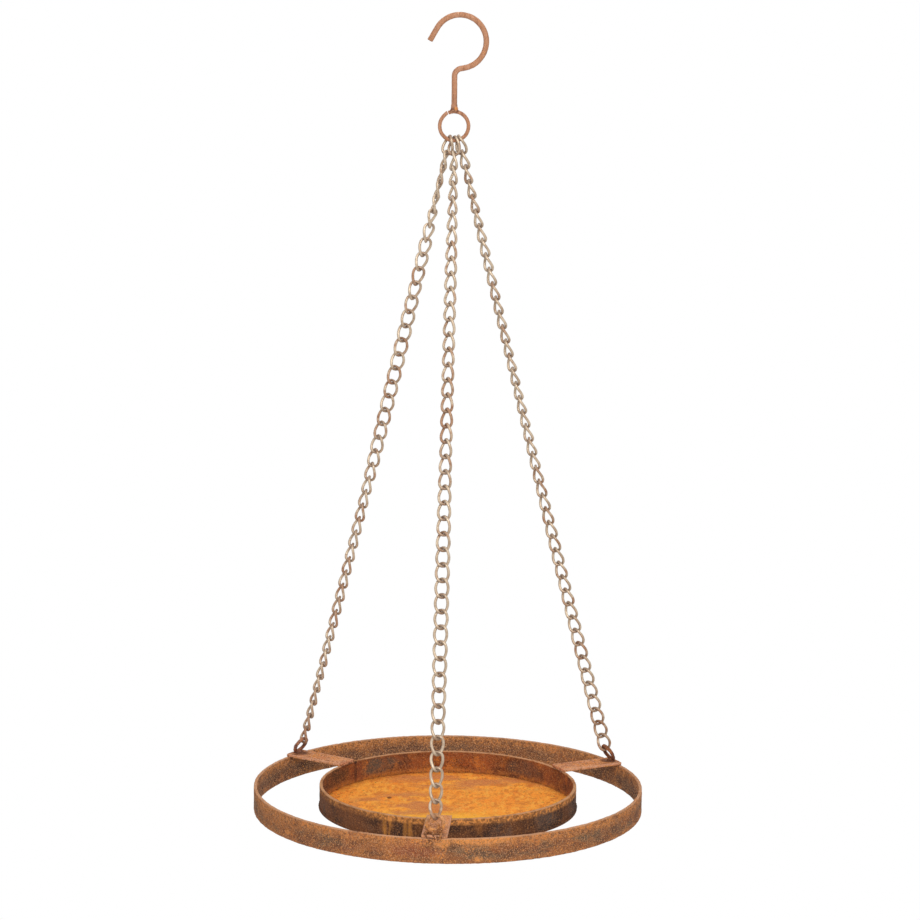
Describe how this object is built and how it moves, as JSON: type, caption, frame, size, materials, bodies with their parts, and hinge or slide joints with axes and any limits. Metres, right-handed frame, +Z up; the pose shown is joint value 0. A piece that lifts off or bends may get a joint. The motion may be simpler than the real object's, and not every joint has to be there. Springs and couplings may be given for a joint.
{
  "type": "hanging bird feeder",
  "caption": "Hanging bird feeder of rusted steel: a round flat-bar dish inside a wider perch hoop on spokes, hung by twisted-link chains from a ring and an open hook.",
  "frame": {"origin": "On the tray's axis at the height of the outer hoop's lower edge, the centre of the bounding box's bottom.", "axes": "+Z up along the hanging axis, -Y towards the front spoke, +X to the right when seen from the front."},
  "size_m": [0.32, 0.32, 0.6484],
  "materials": {
    "chain_steel": "bare steel wire with patches of rust",
    "hook_steel": "rusted steel rod",
    "spoke_steel": "rusted flat bar",
    "eye_steel": "dark rusted steel",
    "dish_floor_steel": "bright orange rust",
    "dish_steel": "dark rusted flat bar",
    "hoop_steel": "mottled rusted flat bar"
  },
  "bodies": {
    "hook": {"hook": "hook_steel", "hook_ring": "hook_steel"},
    "hanging_tray": {"outer_ring": "hoop_steel", "dish_wall": "dish_steel", "dish_base": "dish_floor_steel", "spoke_front": "spoke_steel", "spoke_left": "spoke_steel", "spoke_right": "spoke_steel", "eye_front": "eye_steel", "eye_left": "eye_steel", "eye_right": "eye_steel", "chain_front_top_link": "chain_steel", "chain_front_links": "chain_steel", "chain_front_bottom_link": "chain_steel", "chain_left_top_link": "chain_steel", "chain_left_links": "chain_steel", "chain_left_bottom_link": "chain_steel", "chain_right_top_link": "chain_steel", "chain_right_links": "chain_steel", "chain_right_bottom_link": "chain_steel"}
  },
  "joints": [
    {"name": "tray_swing", "type": "hinge", "parent": "hook", "child": "hanging_tray", "pos_m": [0, 0, 0.54762], "axis": [1, 0, 0], "range_deg": [-30, 30]}
  ]
}
